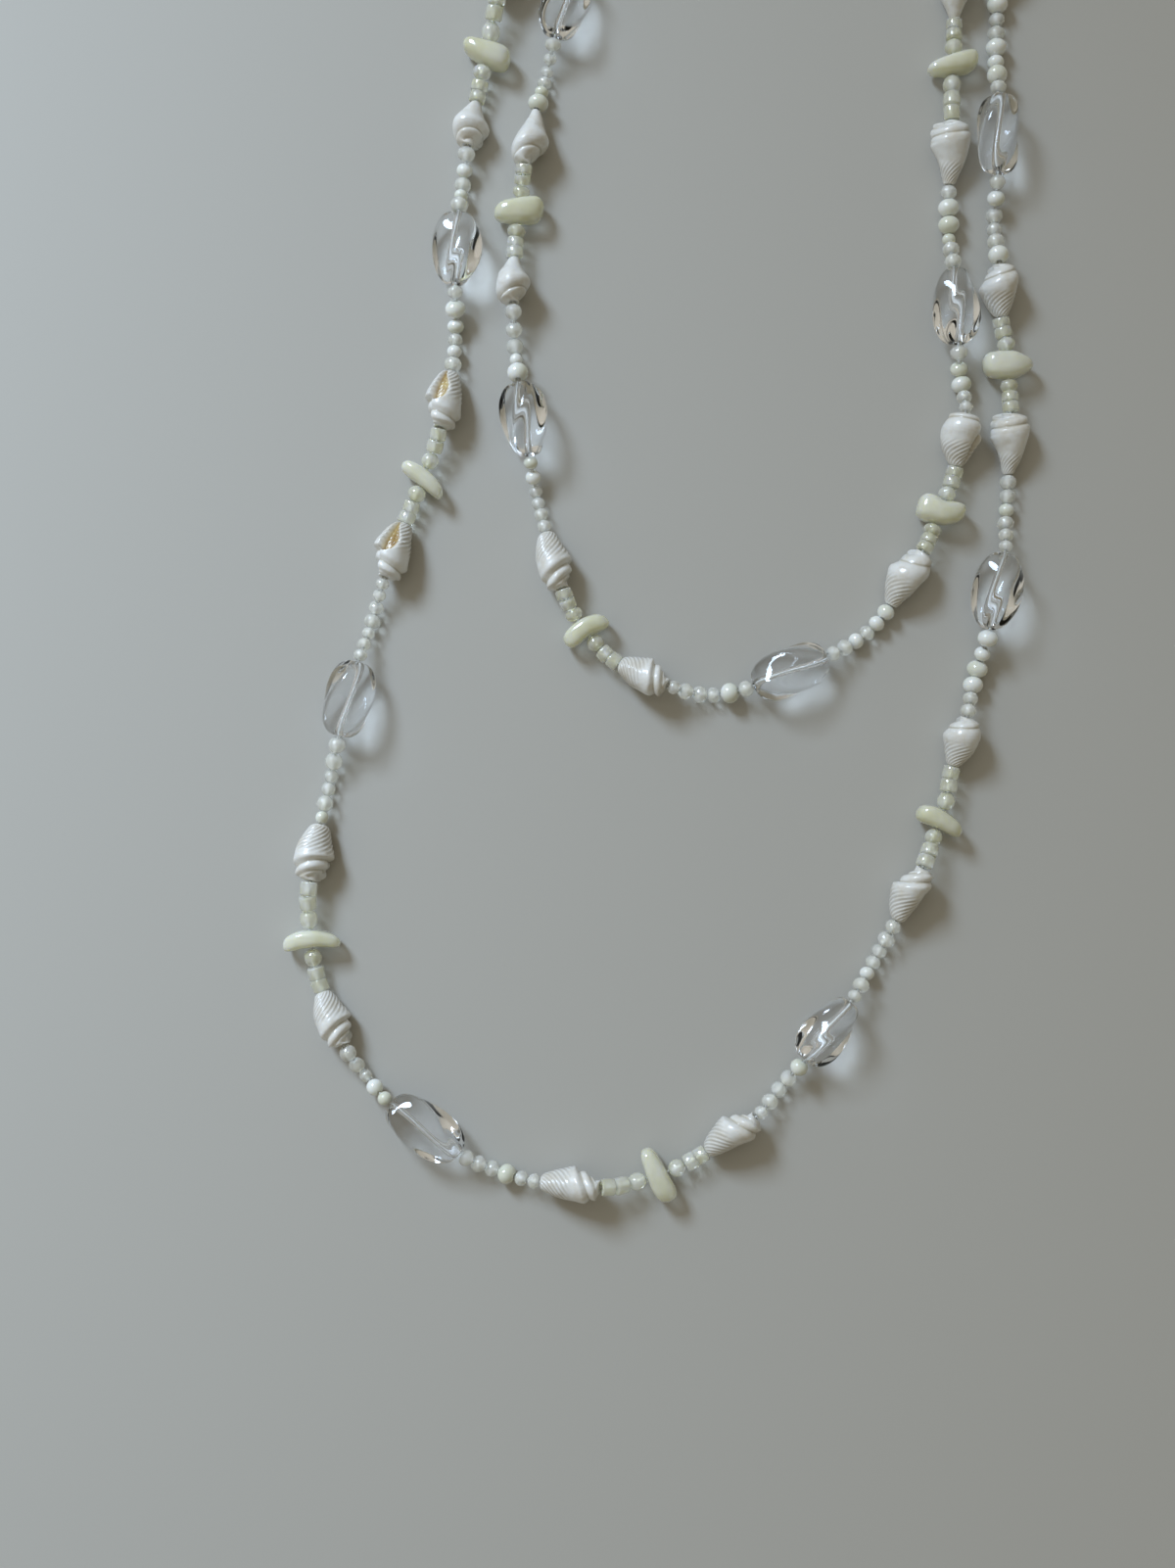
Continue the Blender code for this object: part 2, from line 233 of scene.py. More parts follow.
# the points that the string goes through, in mm
route = (
    (-43.2, 8.4), (-53.8, -22.0), (-62.8, -52.0), (-69.8, -83.2), (-71.0, -100.4),
    (-66.8, -117.2), (-59.2, -129.4), (-48.0, -140.0), (-33.2, -148.2), (-18.4, -151.2),
    (-1.2, -149.8), (14.6, -141.4), (24.8, -131.4), (43.0, -107.6), (57.2, -77.6),
    (60.8, -61.8), (65.4, -46.6), (71.2, -16.0), (71.6, 15.0), (69.8, 30.0),
    (69.2, 61.6), (70.2, 114.0), (66.8, 127.6), (52.6, 134.8), (38.6, 137.2),
    (21.6, 140.0), (3.6, 134.4), (-10.0, 120.0), (-19.0, 90.0), (-26.4, 61.0),
    (-29.6, 33.4), (-27.6, 5.0), (-21.6, -24.0), (-15.4, -38.2), (-4.0, -48.0),
    (11.2, -51.2), (26.4, -48.0), (40.2, -40.0), (50.8, -28.6), (62.0, -0.2),
    (60.4, 26.6), (59.8, 58.8), (61.2, 94.0), (60.0, 109.0), (52.6, 134.8),
    (46.6, 145.2), (34.2, 150.4), (16.6, 150.6), (-0.4, 145.0), (-15.0, 132.4),
    (-25.4, 114.0), (-33.4, 88.0), (-40.2, 52.0),
)
routeMiddle = (0.0, 0.7)


def smoothRoute():
    # a closed smooth curve through the points of the route, and the way walked up to each of its points
    points = (np.array(route) - routeMiddle) * mm
    before, start, end, after = (np.roll(points, -k, axis=0)[:, None, :] for k in (-1, 0, 1, 2))
    t = np.linspace(0.0, 1.0, laying["routeSteps"], endpoint=False)[None, :, None]
    bend = 2 * before - 5 * start + 4 * end - after
    twist = 3 * start - before - 3 * end + after
    curve = (0.5 * (2 * start + (end - before) * t + bend * t ** 2 + twist * t ** 3)).reshape(-1, 2)
    curve = np.vstack([curve, curve[:1]])
    steps = np.linalg.norm(np.diff(curve, axis=0), axis=1)
    return curve, np.concatenate([[0.0], np.cumsum(steps)])


def placeStretches():
    # every stretch of the string in turn, with its length and the two ends that it has on the route
    items = []
    for index, shares in enumerate(repeats):
        for kind, share in zip(order, shares):
            form = kind.split("_")[0]
            items.append({"kind": kind, "form": form, "repeat": index, "length": share * laying[form]})
    total = sum(item["length"] for item in items)
    curve, walked = smoothRoute()
    scale = total / walked[-1]
    position = (laying["firstGlass"] - 0.5 * items[0]["length"] / total) * walked[-1]
    counts = {"glass": 0, "shell": 0, "chip": 0}
    for item in items:
        ends = []
        for place in (position, position + item["length"] / scale):
            along = place % walked[-1]
            ends.append(Vector((np.interp(along, walked, curve[:, 0]) * scale,
                                np.interp(along, walked, curve[:, 1]) * scale, 0.0)))
        item["ends"] = ends
        position += item["length"] / scale
        if item["form"] in counts:
            counts[item["form"]] += 1
            item["number"] = counts[item["form"]]
            item["node"] = f"{item['form']}_{item['number']:02d}"
            item["turns"] = dict(zip(turnNames, turns[item["repeat"]]))
    return items


def seatBead(item, piece, turn, pitch):
    # the bead's own z axis becomes the string's direction, and its lowest point touches the table
    start, end = item["ends"]
    heading = math.atan2(end.y - start.y, end.x - start.x)
    rotation = (Matrix.Rotation(heading, 3, "Z") @ Matrix.Rotation(-pitch, 3, "Y")
                @ Matrix.Rotation(turn, 3, "X"))
    alongX = Matrix(((0, 0, 1), (1, 0, 0), (0, 1, 0)))
    piece.data.transform((rotation @ alongX).to_4x4())
    lowest = min(vertex.co.z for vertex in piece.data.vertices)
    middle = (start + end) / 2
    middle.z = -lowest
    piece.data.transform(Matrix.Translation(middle))
    item["direction"] = rotation @ Vector((1.0, 0.0, 0.0))
    half = item["direction"] * (end - start).length / 2
    item["entry"] = middle - half
    item["exit"] = middle + half


def linkPoint(before, after, t, lowest=None):
    # a point of the thread between two beads; a run of seeds sinks to its lowest height between them
    start, end = before["exit"], after["entry"]
    span = (end - start).length
    h00, h10 = 2 * t ** 3 - 3 * t ** 2 + 1, t ** 3 - 2 * t ** 2 + t
    h01, h11 = -2 * t ** 3 + 3 * t ** 2, t ** 3 - t ** 2
    point = h00 * start + h01 * end + span * (h10 * before["direction"] + h11 * after["direction"])
    if lowest is not None:
        near = start.z if t < 0.5 else end.z
        share = 0.5 + 0.5 * math.cos(2 * math.pi * t)
        point.z = lowest + (near - lowest) * share
    return point


items = placeStretches()
print("string laid out:", len(items), "stretches")

# Camera, light and table. The camera looks almost straight down, and the height is what it sees
# at the centre
view = {"centre": (-14.42 * mm, -70.48 * mm, 3.0 * mm), "elevation": 89.0, "distance": 0.34,
        "height": 0.31813, "sensor": 36.0, "nearest": 0.01}
cameraData = bpy.data.cameras.new("photoCamera")
cameraData.sensor_width = view["sensor"]
cameraData.lens = view["sensor"] * view["distance"] / view["height"]
cameraData.clip_start = view["nearest"]
camera = bpy.data.objects.new("photoCamera", cameraData)
bpy.context.scene.collection.objects.link(camera)
tilt = math.radians(view["elevation"])
away = Vector((0.0, -math.cos(tilt), math.sin(tilt)))
camera.location = Vector(view["centre"]) + away * view["distance"]
camera.rotation_mode = "QUATERNION"
camera.rotation_quaternion = (-away).to_track_quat("-Z", "Y")
bpy.context.scene.camera = camera

# Daylight from one window at the upper left
window = {"place": (-0.565, 0.593, 0.686), "aim": (-0.60, -0.11, 0.0), "size": 0.32, "spread": 104.0,
          "power": 6.7, "colour": "#CFE5FF"}
lamp = bpy.data.lights.new("window", "AREA")
lamp.shape = "SQUARE"
lamp.size = window["size"]
lamp.spread = math.radians(window["spread"])
lamp.energy = window["power"]
lamp.color = hexColour(window["colour"])[:3]
lampObject = bpy.data.objects.new("window", lamp)
bpy.context.scene.collection.objects.link(lampObject)
lampObject.location = window["place"]
aim = Vector(window["aim"]) - Vector(window["place"])
lampObject.rotation_euler = aim.to_track_quat("-Z", "Y").to_euler()

# A warm room, lighter on the window's side, so that the glass shows light and dark: the way to the
# bright side, then where the dark colour ends and where the light one is full
room = {"bright": (-0.62, 0.50, 0.60), "dark": (0.0, "#A09A86"), "light": (0.95, "#FFF9EA"), "strength": 0.54}
world = bpy.data.worlds.new("studio")
bpy.context.scene.world = world
world.use_nodes = True
coordinates = addNode(world, "TexCoord")
side = addNode(world, "VectorMath", {"operation": "DOT_PRODUCT", 1: room["bright"]},
               {0: coordinates.outputs["Generated"]})
background = world.node_tree.nodes["Background"]
feed(world, rampOn(world, side.outputs["Value"], room["dark"], room["light"]), background, "Color")
background.inputs["Strength"].default_value = room["strength"]
bpy.context.scene.view_settings.view_transform = "Standard"

bpy.ops.object.select_all(action="DESELECT")
bpy.ops.mesh.primitive_plane_add(size=4.0, location=(0, 0, 0))
table = bpy.context.object
table.name = "paleTable"
tablePaint, _ = newMaterial("matt painted board", "#B8B5AD", 0.8)
table.data.materials.append(tablePaint)
print("camera, lights and table placed")

# Glass ovals, pressed and twisted
glass = {
    "length": 16.0 * mm, "width": 10.2 * mm, "depth": 8.4 * mm, "sides": 20, "smoothing": 2,
    "bore": 0.55 * mm, "boreClear": 2.0, "twist": 78.0,
    # how square a section is, by how much that differs, and what share of it pressing leaves
    "squareness": 3.8, "squarenessSpread": (-0.3, 0.6), "pressed": 0.935,
    "uneven": 0.12 * mm, "unevenScale": 5.0 * mm,
    # place along the bead, then half width as a share
    "profile": (
        (0.0, 0.27), (0.012, 0.42), (0.045, 0.59), (0.11, 0.755), (0.22, 0.905), (0.36, 0.98), (0.5, 1.0),
        (0.64, 0.98), (0.78, 0.905), (0.89, 0.755), (0.955, 0.59), (0.988, 0.42), (1.0, 0.27)),
}

# Lampworked soda-lime glass, pressed while hot: colourless, fire polished, so it is quite
# smooth, and its soft facets show only where they bend the light
clearGlass, shader = newMaterial("fire polished soda lime glass", "#FFFFFF", 0.0, ior=1.52,
                                 Transmission_Weight=1.0)
bumpOn(clearGlass, shader, noiseOn(clearGlass, 130.0, 0.0), 0.04, 0.4 * mm)
letLightThrough(clearGlass, shader, 0.8)

glassProfile = [((place - 0.5) * glass["length"], share * glass["width"] / 2)
                for place, share in glass["profile"]]
glassMaster = turnedBead("glassMaster", glass["sides"], glassProfile, glass["bore"])
smooth = glassMaster.modifiers.new("smooth", "SUBSURF")
smooth.levels = smooth.render_levels = glass["smoothing"]
applyAll(glassMaster)

unevenGlass = cloudTexture("unevenGlass", glass["unevenScale"])
unevenGlass.noise_basis = "IMPROVED_PERLIN"
unevenGlass.noise_depth = 0


def pressFacets(piece, squareness, flatness):
    # four long flats are pressed into the round form, and it is made less deep than wide
    for vertex in piece.data.vertices:
        reach = math.hypot(vertex.co.x, vertex.co.y)
        if reach < glass["boreClear"] * glass["bore"]:
            continue
        angle = math.atan2(vertex.co.y, vertex.co.x)
        corners = abs(math.cos(angle)) ** squareness + abs(math.sin(angle)) ** squareness
        grow = glass["pressed"] * corners ** (-1 / squareness)
        vertex.co.x *= grow
        vertex.co.y *= grow * flatness


for item in items:
    if item["form"] != "glass":
        continue
    piece = copyOf(glassMaster, f"glassOval{item['number']:02d}")
    squareness = glass["squareness"] + dice.uniform(*glass["squarenessSpread"])
    pressFacets(piece, squareness, glass["depth"] / glass["width"])
    length = (item["length"] - laying["gap"]) / glass["length"]
    piece.data.transform(Matrix.Diagonal((1.0, 1.0, length, 1.0)))
    twist = piece.modifiers.new("twist", "SIMPLE_DEFORM")
    twist.deform_method = "TWIST"
    twist.deform_axis = "Z"
    twist.angle = math.radians(glass["twist"])
    applyAll(piece)
    # the ovals are uneven where they lie, so each already has its own part of the texture
    seatBead(item, piece, math.radians(item["turns"]["glass"]), 0.0)
    displaceAt(piece, unevenGlass, glass["uneven"], 0)
    finishPiece(piece, clearGlass, item["node"])
print("glass ovals made")

# Small sea snail shells of four kinds: an angular shoulder, a rounded one, a pear and a cone
shell = {
    "length": 12.0 * mm, "width": 8.0 * mm, "depth": 7.2 * mm, "sides": 84, "rings": 86, "bore": 0.6 * mm,
    "boreClear": 1.2, "uneven": 0.26 * mm, "unevenScale": 3.2 * mm, "stout": (0.95, 1.03),
    # how far a whorl climbs in one turn and between which places, how much it grows in a turn, and
    # where the growth fades in and out
    "whorl": 0.14, "whorlFrom": (0.34, 0.62), "tipFrom": (0.93, 1.0),
    "growth": 0.11, "growthFrom": (0.0, 0.12), "growthTo": (0.66, 0.80),
    # the ribs are drawn half as many as real ones, as finer ones would not show: how many in a
    # shell's length, how deep, how many are passed in one turn, and how they fade in and out
    "ribs": 12, "ribDepth": 0.024, "slant": 14, "ribFrom": (0.0, 0.04), "ribFade": 0.2,
    # the mouth: where it closes, where its end rounds off and how far, its width at the narrow end
    # and where it is full, the edge of its hollow, its depth, from which width it is that deep, and
    # the least width
    "mouthTo": (0.58, 0.64), "hookFrom": 0.34, "hookReach": 0.29, "mouthNarrow": 0.40,
    "mouthFull": (0.0, 0.36), "mouthEdge": 0.55, "mouthDepth": 0.34, "deepFrom": 0.06,
    "mouthLeast": 0.001,
    # the swelling beside the mouth, then the lip that leans the last whorl to one side
    "rim": 0.05, "rimFrom": (0.84, 0.95), "lip": 0.12, "lipEnd": 0.76,
    # how strong the stains and the painted shade in the rib grooves are, and from where to where they fade
    "seamStain": 0.6, "seamFade": (0.004, 0.026), "seamTo": (0.9, 1.0), "ribGrooveShade": 0.75,
    "mouthFade": (0.15, 0.6), "openMouth": 0.1, "closedStain": 0.35,
    # which way the edge of the lip looks: 90 is up; most lie mouth down
    "lipEdge": {1: 128.0, 2: 124.0, 9: 345.0, 20: 152.0, 21: 350.0}, "lipDown": 300.0, "lipSpread": (-35, 35),
}
# for each kind: mouth width, lean of the whorls and where round the shell it is lowest, how far up
# the ribs go, the sutures, and the profile from the narrow end; half widths as shares
shellKinds = {
    "angular": {
        "mouth": 0.125, "lean": 0.085, "lowAt": 0.33, "ribEnd": 0.58, "seams": (0.747, 0.925),
        "profile": (
            (0.0, 0.32), (0.015, 0.39), (0.04, 0.46), (0.10, 0.55), (0.20, 0.67), (0.32, 0.79), (0.44, 0.91),
            (0.54, 0.965), (0.61, 0.995), (0.645, 1.0), (0.675, 0.97), (0.705, 0.88), (0.73, 0.79),
            (0.745, 0.755), (0.76, 0.765), (0.785, 0.80), (0.83, 0.81), (0.865, 0.775), (0.89, 0.70),
            (0.905, 0.62), (0.918, 0.575), (0.935, 0.57), (0.955, 0.56), (0.975, 0.50), (0.99, 0.43),
            (1.0, 0.34))},
    "rounded": {
        "mouth": 0.03, "lean": 0.05, "lowAt": 0.33, "ribEnd": 0.52, "seams": (0.82, 0.82),
        "profile": (
            (0.0, 0.27), (0.015, 0.33), (0.05, 0.40), (0.12, 0.50), (0.22, 0.64), (0.34, 0.79), (0.46, 0.91),
            (0.56, 0.985), (0.62, 1.0), (0.68, 0.985), (0.73, 0.94), (0.775, 0.87), (0.80, 0.815),
            (0.812, 0.79), (0.822, 0.785), (0.835, 0.79), (0.86, 0.785), (0.90, 0.73), (0.935, 0.64),
            (0.965, 0.54), (0.985, 0.45), (1.0, 0.34))},
    "pear": {
        "mouth": 0.03, "lean": 0.09, "lowAt": 0.20, "ribEnd": 0.10, "seams": (0.825, 0.825),
        "profile": (
            (0.0, 0.25), (0.02, 0.29), (0.08, 0.36), (0.16, 0.46), (0.26, 0.60), (0.36, 0.76), (0.46, 0.90),
            (0.54, 0.97), (0.61, 1.0), (0.68, 0.985), (0.74, 0.92), (0.785, 0.82), (0.81, 0.74),
            (0.822, 0.70), (0.836, 0.70), (0.865, 0.71), (0.90, 0.66), (0.935, 0.57), (0.965, 0.49),
            (0.985, 0.42), (1.0, 0.32))},
    "cone": {
        "mouth": 0.03, "lean": 0.03, "lowAt": 0.33, "ribEnd": 0.40, "seams": (0.835, 0.835),
        "profile": (
            (0.0, 0.24), (0.02, 0.28), (0.10, 0.35), (0.22, 0.48), (0.36, 0.63), (0.50, 0.78), (0.62, 0.90),
            (0.70, 0.975), (0.75, 1.0), (0.785, 0.985), (0.81, 0.93), (0.825, 0.875), (0.835, 0.86),
            (0.85, 0.875), (0.88, 0.885), (0.915, 0.86), (0.945, 0.77), (0.97, 0.62), (0.99, 0.45),
            (1.0, 0.34))},
}
# the shells that are not here are rounded
kindOf = {9: "cone", 21: "cone"}
kindOf.update(dict.fromkeys((1, 2, 3, 4, 5, 6, 7, 12, 13, 17, 18, 24), "angular"))
kindOf.update(dict.fromkeys((14, 15, 16, 22, 26), "pear"))

# Small sea snail shell, tumbled: porcelain-like aragonite, creamy white with pits and faint tan
# blotches, painted shade in the grooves between the ribs, and a yellow brown inside of the mouth
shellWall, shader = newMaterial("tumbled snail shell", "#DCD9D1", 0.34, ior=1.53, Coat_Weight=0.5,
                                Coat_Roughness=0.11, Subsurface_Weight=0.15, Subsurface_Scale=1.0,
                                Subsurface_Radius=(0.9 * mm, 0.8 * mm, 0.6 * mm))
bumpOn(shellWall, shader, noiseOn(shellWall, 1500.0, 2.0), 0.35, 0.08 * mm)
blotches = noiseOn(shellWall, 260.0, 4.0, 0.6)
wallColour = rampOn(shellWall, blotches, (0.46, "#E6E5E0"), (0.74, "#D3CBBB"))
# the rib mask is painted shade that darkens the grooves between the ribs; the seam mask is a stain along the
# sutures
for maskName, stainAndShade in (("paintedRibShade", "#B5AE9F"), ("seam", "#A39878")):
    mask = addNode(shellWall, "Attribute", {"attribute_name": maskName})
    stainedAndShaded = addNode(shellWall, "MixRGB", {"Color2": hexColour(stainAndShade)},
                      {"Fac": mask.outputs["Fac"], "Color1": wallColour})
    wallColour = stainedAndShaded.outputs["Color"]
mouthMask = addNode(shellWall, "Attribute", {"attribute_name": "mouth"})
mouthColour = rampOn(shellWall, blotches, (0.40, "#8F6A2A"), (0.62, "#C2AB70"))
mouthed = addNode(shellWall, "MixRGB", {}, {"Fac": mouthMask.outputs["Fac"], "Color1": wallColour,
                                            "Color2": mouthColour})
feed(shellWall, mouthed.outputs["Color"], shader, "Base Color")


def smoothStep(low, high, value):
    t = min(max((value - low) / (high - low), 0.0), 1.0)
    return t * t * (3 - 2 * t)


def coilShell(piece, kind):
    # the whorls climb round the axis to the lip and lean to one side; the mouth is a hollow beside
    # the lip, and ribs slant round the narrow half
    mesh = piece.data
    seam, mouth, paintedRibShade = (mesh.attributes.new(name, "FLOAT", "POINT") for name in ("seam", "mouth", "paintedRibShade"))
    places, shares = zip(*kind["profile"])
    for vertex in mesh.vertices:
        reach = math.hypot(vertex.co.x, vertex.co.y)
        if reach < shell["boreClear"] * shell["bore"]:
            continue
        place = vertex.co.z / shell["length"] + 0.5
        around = (-math.atan2(vertex.co.y, vertex.co.x) / (2 * math.pi)) % 1.0
        whorled = smoothStep(*shell["whorlFrom"], place) * (1 - smoothStep(*shell["tipFrom"], place))
        lean = kind["lean"] * math.cos(2 * math.pi * (around - kind["lowAt"]))
        level = place - (shell["whorl"] * (0.5 - around) + lean) * whorled
        share = float(np.interp(level, places, shares))
        grown = smoothStep(*shell["growthFrom"], place) * (1 - smoothStep(*shell["growthTo"], level))
        share *= 1 + shell["growth"] * (around - 0.5) * grown
        wave = math.sin(2 * math.pi * (shell["ribs"] * place + shell["slant"] * around))
        ribFaded = smoothStep(kind["ribEnd"] - shell["ribFade"], kind["ribEnd"], place)
        ribShare = smoothStep(*shell["ribFrom"], place) * (1 - ribFaded)
        share += shell["ribDepth"] * wave * ribShare
        # the mouth's far end is round and hooks back to the lip
        open = 1 - smoothStep(*shell["mouthTo"], place)
        hook = math.sqrt(max(0.0, 1 - max(0.0, (place - shell["hookFrom"]) / shell["hookReach"]) ** 2))
        width = kind["mouth"] * (shell["mouthNarrow"] + smoothStep(*shell["mouthFull"], place)) * hook
        width += shell["mouthLeast"]
        hollow = open * (1 - smoothStep(shell["mouthEdge"] * width, width, around))
        swell = shell["rim"] * smoothStep(*shell["rimFrom"], around) * open
        depth = shell["mouthDepth"] * min(1.0, kind["mouth"] / shell["deepFrom"])
        share *= 1 + swell - depth * hollow
        grow = share * shell["width"] / 2 / reach
        vertex.co.x *= grow
        vertex.co.y *= grow * shell["depth"] / shell["width"]
        seamNear = min(abs(level - kind["seams"][0]), abs(level - kind["seams"][1]))
        seamShare = (1 - smoothStep(*shell["seamFade"], seamNear)) * (1 - smoothStep(*shell["seamTo"], place))
        seam.data[vertex.index].value = shell["seamStain"] * seamShare
        # painted shade, darkest in the grooves between the ribs
        paintedRibShade.data[vertex.index].value = shell["ribGrooveShade"] * ribShare * (0.5 - 0.5 * wave)
        mouthStain = 1.0 if kind["mouth"] > shell["openMouth"] else shell["closedStain"]
        mouth.data[vertex.index].value = mouthStain * smoothStep(*shell["mouthFade"], hollow)


shellMasters = {}
rings = np.linspace(0.0, 1.0, shell["rings"])
for kindName, kind in shellKinds.items():
    shares = np.interp(rings, *zip(*kind["profile"]))
    shellProfile = [((place - 0.5) * shell["length"], share * shell["width"] / 2)
                    for place, share in zip(rings, shares)]
    shellMasters[kindName] = turnedBead(kindName + "Shell", shell["sides"], shellProfile, shell["bore"])
    coilShell(shellMasters[kindName], kind)

unevenShell = cloudTexture("unevenShell", shell["unevenScale"])

for item in items:
    if item["form"] != "shell":
        continue
    number = item["number"]
    piece = copyOf(shellMasters[kindOf.get(number, "rounded")], f"snailShell{number:02d}")
    turn = math.radians(item["turns"][item["kind"]])
    lipEdge = shell["lipEdge"].get(number, shell["lipDown"] + dice.uniform(*shell["lipSpread"]))
    piece.data.transform(Matrix.Rotation(math.radians(lipEdge) - turn, 4, "Z"))
    for vertex in piece.data.vertices:
        place = vertex.co.z / shell["length"] + 0.5
        outside = math.hypot(vertex.co.x, vertex.co.y) > shell["boreClear"] * shell["bore"]
        if outside and place < shell["lipEnd"]:
            vertex.co.x += shell["lip"] * shell["width"] / 2 * math.sin(math.pi * place / shell["lipEnd"])
    length = (item["length"] - laying["gap"]) / shell["length"]
    stout = dice.uniform(*shell["stout"])
    piece.data.transform(Matrix.Diagonal((stout, stout, length, 1.0)))
    displaceAt(piece, unevenShell, shell["uneven"], number)
    seatBead(item, piece, turn, laying["shellPitch"])
    finishPiece(piece, shellWall, item["node"])
print("shells made")

# Stone chips, tumbled to flat pebbles and drilled across
chip = {
    "width": 10.8 * mm, "height": 6.0 * mm, "crease": 0.24, "smoothing": 4,
    "uneven": 0.45 * mm, "unevenScale": 5.0 * mm,
    # where an end starts to get pointed, how much of that its height takes, how wide a dent is, and
    # how far up to its faces the next beads come
    "pointFrom": (0.1, 1.0), "pointHeight": 0.6, "dentWidth": 0.35, "closeUp": 0.96,
    # for each chip: its share of the thickness, how much thicker its left end is, a dent in front
    # and one behind, and how pointed the left and the right end are
    "forms": {1: (0.78, -0.06, 0.0, 0.0, 0.0, 0.06), 2: (0.92, 0.06, 0.0, 0.06, 0.0, 0.04),
              3: (0.94, 0.20, 0.0, 0.0, 0.05, 0.0), 4: (0.80, -0.06, 0.0, 0.04, 0.10, 0.0),
              5: (0.98, -0.06, 0.0, 0.0, 0.36, 0.0), 8: (1.06, -0.20, 0.0, 0.04, 0.0, 0.0),
              9: (0.90, 0.05, 0.16, 0.0, 0.0, 0.0), 10: (0.98, -0.10, 0.24, 0.0, 0.0, 0.0),
              11: (0.88, 0.26, 0.0, 0.0, 0.0, 0.16), 13: (0.90, -0.30, 0.0, 0.05, 0.0, 0.0)},
    "plain": (0.95, 0.1, 0.0, 0.1, 0.1, 0.0),
}

# Tumbled serpentine, sold as new jade: waxy and well polished, light goes deep into it, pale
# cream green with yellower clouds
serpentine, shader = newMaterial("tumbled serpentine", "#E2E3D6", 0.16, ior=1.56, Coat_Weight=0.8,
                                 Coat_Roughness=0.04, Subsurface_Weight=1.0, Transmission_Weight=0.25,
                                 Subsurface_Radius=(2.6 * mm, 2.5 * mm, 1.7 * mm), Subsurface_Scale=1.0)
clouds = noiseOn(serpentine, 120.0, 3.0, 0.55)
feed(serpentine, rampOn(serpentine, clouds, (0.32, "#E0DEC0"), (0.66, "#F6F5E5")), shader, "Base Color")
bumpOn(serpentine, shader, noiseOn(serpentine, 600.0, 2.0), 0.08, 0.1 * mm)
letLightThrough(serpentine, shader, 0.6)

unevenStone = cloudTexture("unevenStone", chip["unevenScale"])


def makeChip(item):
    # a creased cube smoothed to a pebble, tapered, dented, leaned and bowed
    bpy.ops.object.select_all(action="DESELECT")
    bpy.ops.mesh.primitive_cube_add(size=1.0, location=(0, 0, 0))
    piece = bpy.context.object
    piece.name = f"stoneChip{item['number']:02d}"
    bpy.ops.object.mode_set(mode="EDIT")
    bpy.ops.mesh.select_all(action="SELECT")
    bpy.ops.transform.edge_crease(value=chip["crease"])
    bpy.ops.object.mode_set(mode="OBJECT")
    rounded = piece.modifiers.new("rounded", "SUBSURF")
    rounded.levels = rounded.render_levels = chip["smoothing"]
    applyAll(piece)
    size = piece.dimensions.copy()
    length = item["length"] - laying["gap"]
    width = item["turns"]["width"] * chip["width"]
    height = item["turns"]["height"] * chip["height"]
    form = chip["forms"].get(item["number"], chip["plain"])
    thickness, thicker, dentFront, dentBack, pointedLeft, pointedRight = form
    for vertex in piece.data.vertices:
        across = vertex.co.x / (size.x / 2)
        along = vertex.co.z / (size.z / 2)
        pointed = (pointedRight * smoothStep(*chip["pointFrom"], across)
                   + pointedLeft * smoothStep(*chip["pointFrom"], -across))
        dent = (dentFront if along > 0 else dentBack) * math.exp(-(across / chip["dentWidth"]) ** 2)
        along *= thickness * (1 - thicker * across) * (1 - pointed) * (1 - dent)
        vertex.co.x = across * width / 2
        vertex.co.y *= height / size.y * (1 - chip["pointHeight"] * pointed)
        bow = item["turns"]["lean"] * across + item["turns"]["bend"] * across ** 2
        vertex.co.z = along * length / 2 + width / 2 * bow
    displaceAt(piece, unevenStone, chip["uneven"], item["number"])
    bpy.ops.object.shade_smooth()
    seatBead(item, piece, 0.0, 0.0)
    # the beads next to it close up to its faces
    half = item["direction"] * (item["ends"][1] - item["ends"][0]).length / 2
    item["entry"] += half * (1 - chip["closeUp"] * thickness * (1 - dentBack))
    item["exit"] -= half * (1 - chip["closeUp"] * thickness * (1 - dentFront))
    return piece


for item in items:
    if item["form"] == "chip":
        finishPiece(makeChip(item), serpentine, item["node"])
print("stone chips made")

# Small beads and the thread
smallBeads = {
    # the diameters in mm that the seeds are drawn from, above which one they are always pearly, and
    # what share of the others is
    "seedDiameters": (3.7, 3.15, 3.0, 3.0, 2.8, 2.7, 2.5, 2.4), "pearlFrom": 3.5, "pearlShare": 0.20,
    # where the photograph no longer shows them they are plainer
    "hiddenFrom": 0.10, "hiddenDiameters": (3.0, 2.9, 2.8, 2.7),
    # the seed that is copied is 1 mm across; copies are stouter than their length and close up
    "seedUnit": 1.0 * mm, "seedBore": 0.14 * mm, "seedSides": 20, "seedStout": 1.16, "seedClose": 1.07,
    "seedAngles": (20, 35, 52, 70, 90, 110, 128, 145, 160), "seedSpread": (0.96, 1.03), "loosest": 1.2,
    "runRest": 1.3 * mm,
    "ponyDiameter": 3.5 * mm, "ponyLength": 2.5 * mm, "middleSides": 20, "middleSpread": (0.95, 1.03),
    "ponyRim": ((-0.5, 0.50), (-0.5, 0.80), (-0.47, 0.92), (-0.38, 0.985), (0.0, 1.0), (0.38, 0.985),
                (0.47, 0.92), (0.5, 0.80), (0.5, 0.50)),
    "roundDiameter": 3.8 * mm, "roundLength": 2.9 * mm, "roundShare": 0.42,
    "roundAngles": (18, 30, 46, 64, 90, 116, 134, 150, 162),
    "bore": 0.45 * mm, "thread": 0.5 * mm, "tip": (-0.10, 0.10), "ahead": 0.02,
    "threadStops": (0.25, 0.5, 0.75),
}

